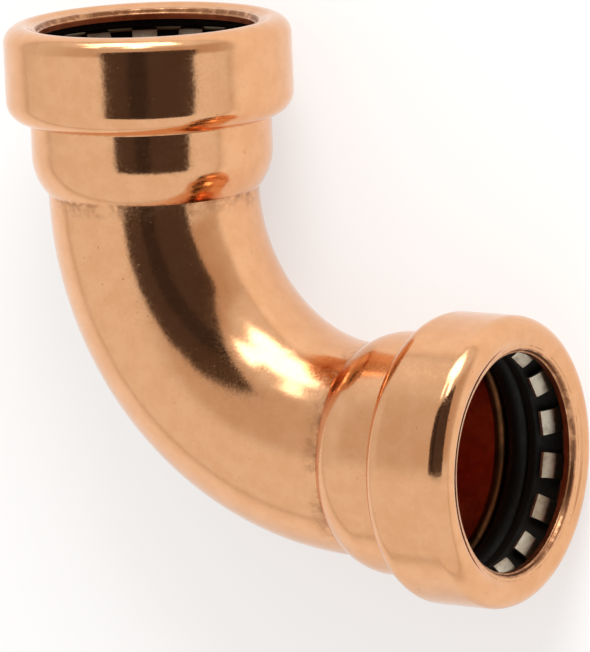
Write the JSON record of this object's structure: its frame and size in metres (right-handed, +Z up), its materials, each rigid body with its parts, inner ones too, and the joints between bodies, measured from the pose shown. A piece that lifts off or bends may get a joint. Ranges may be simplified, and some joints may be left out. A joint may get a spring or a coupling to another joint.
{
  "type": "push-fit elbow",
  "caption": "Copper push-fit pipe elbow that turns a run through a right angle, with a bell socket at each end holding a seal and a toothed grab ring.",
  "frame": {"origin": "on the floor, under the middle of the box of the elbow as it lies", "axes": "+X and +Y the ways the two sockets open, seen from above; each socket axis climbs about 11 degrees from the floor; +Z up. The elbow lies on its side as it comes to rest, on the rear edges of its two bells and the underside of the bend"},
  "size_m": [0.0768, 0.0768, 0.0385],
  "materials": {
    "copper": "polished copper",
    "seal_rubber": "smooth, greased",
    "ring_plastic": "moulded",
    "spring_steel": "stamped stainless steel"
  },
  "bodies": {
    "root": {"elbow_body": "copper", "o_ring_x": "seal_rubber", "spacer_ring_x": "ring_plastic", "grab_ring_x": "spring_steel", "support_ring_x": "ring_plastic", "o_ring_y": "seal_rubber", "spacer_ring_y": "ring_plastic", "grab_ring_y": "spring_steel", "support_ring_y": "ring_plastic"}
  },
  "joints": []
}
